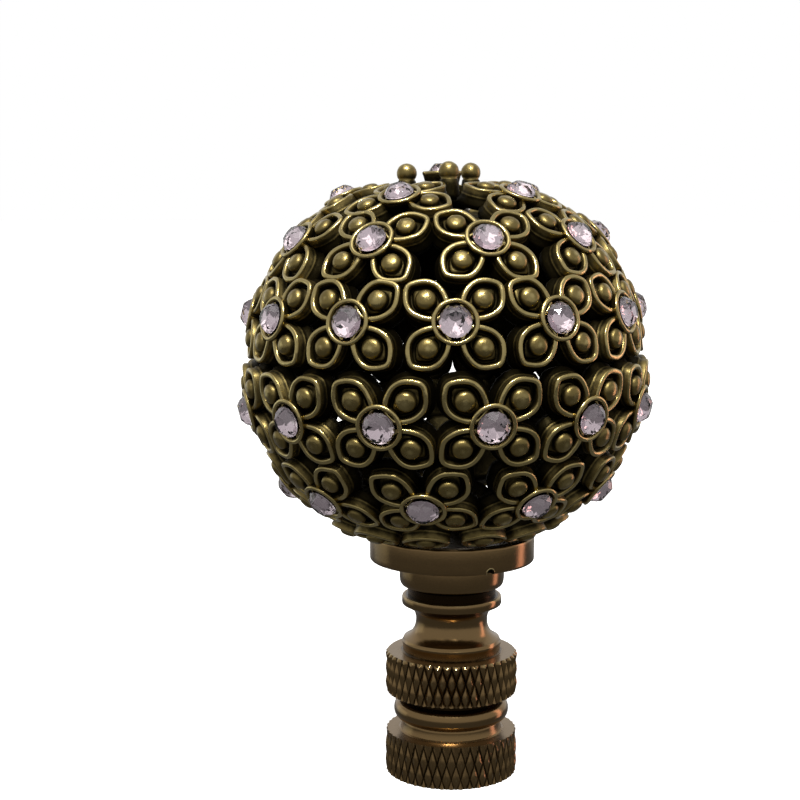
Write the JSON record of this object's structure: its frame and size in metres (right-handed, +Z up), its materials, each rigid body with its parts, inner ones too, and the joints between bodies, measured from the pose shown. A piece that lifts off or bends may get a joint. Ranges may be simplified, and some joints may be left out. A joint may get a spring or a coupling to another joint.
{
  "type": "lamp shade finial",
  "caption": "Lamp shade finial: pierced ball of grooved four petal flowers with clear stones, on a seat cup and a knurled turned base that screws onto a lamp harp.",
  "frame": {"origin": "centre of the flat underside of the knurled base, on the turned axis", "axes": "+Z up along the stem towards the crown stone, -Y is the side the picture shows, +X to its right"},
  "size_m": [0.0419, 0.0419, 0.0631],
  "materials": {
    "turned_brass": "satin turned antique brass",
    "cast_brass": "dark antique cast brass with rubbed bright edges",
    "clear_stone": "clear faceted glass with a foiled back"
  },
  "bodies": {
    "root": {"knurled_base": "turned_brass", "seat_cup": "turned_brass", "lower_filigree_half": "cast_brass", "upper_filigree_half": "cast_brass", "upper_row1_01_stone": "clear_stone", "upper_row1_02_stone": "clear_stone", "upper_row1_03_stone": "clear_stone", "upper_row1_04_stone": "clear_stone", "upper_row1_05_stone": "clear_stone", "upper_row1_06_stone": "clear_stone", "upper_row1_07_stone": "clear_stone", "upper_row1_08_stone": "clear_stone", "upper_row1_09_stone": "clear_stone", "upper_row1_10_stone": "clear_stone", "upper_row1_11_stone": "clear_stone", "upper_row1_12_stone": "clear_stone", "upper_row2_01_stone": "clear_stone", "upper_row2_02_stone": "clear_stone", "upper_row2_03_stone": "clear_stone", "upper_row2_04_stone": "clear_stone", "upper_row2_05_stone": "clear_stone", "upper_row2_06_stone": "clear_stone", "upper_row2_07_stone": "clear_stone", "upper_row2_08_stone": "clear_stone", "upper_row2_09_stone": "clear_stone", "upper_row3_01_stone": "clear_stone", "upper_row3_02_stone": "clear_stone", "upper_row3_03_stone": "clear_stone", "upper_row3_04_stone": "clear_stone", "upper_row3_05_stone": "clear_stone", "lower_row1_01_stone": "clear_stone", "lower_row1_02_stone": "clear_stone", "lower_row1_03_stone": "clear_stone", "lower_row1_04_stone": "clear_stone", "lower_row1_05_stone": "clear_stone", "lower_row1_06_stone": "clear_stone", "lower_row1_07_stone": "clear_stone", "lower_row1_08_stone": "clear_stone", "lower_row1_09_stone": "clear_stone", "lower_row1_10_stone": "clear_stone", "lower_row1_11_stone": "clear_stone", "lower_row1_12_stone": "clear_stone", "lower_row2_01_stone": "clear_stone", "lower_row2_02_stone": "clear_stone", "lower_row2_03_stone": "clear_stone", "lower_row2_04_stone": "clear_stone", "lower_row2_05_stone": "clear_stone", "lower_row2_06_stone": "clear_stone", "lower_row2_07_stone": "clear_stone", "lower_row2_08_stone": "clear_stone", "lower_row2_09_stone": "clear_stone", "crown_stone": "clear_stone"}
  },
  "joints": []
}
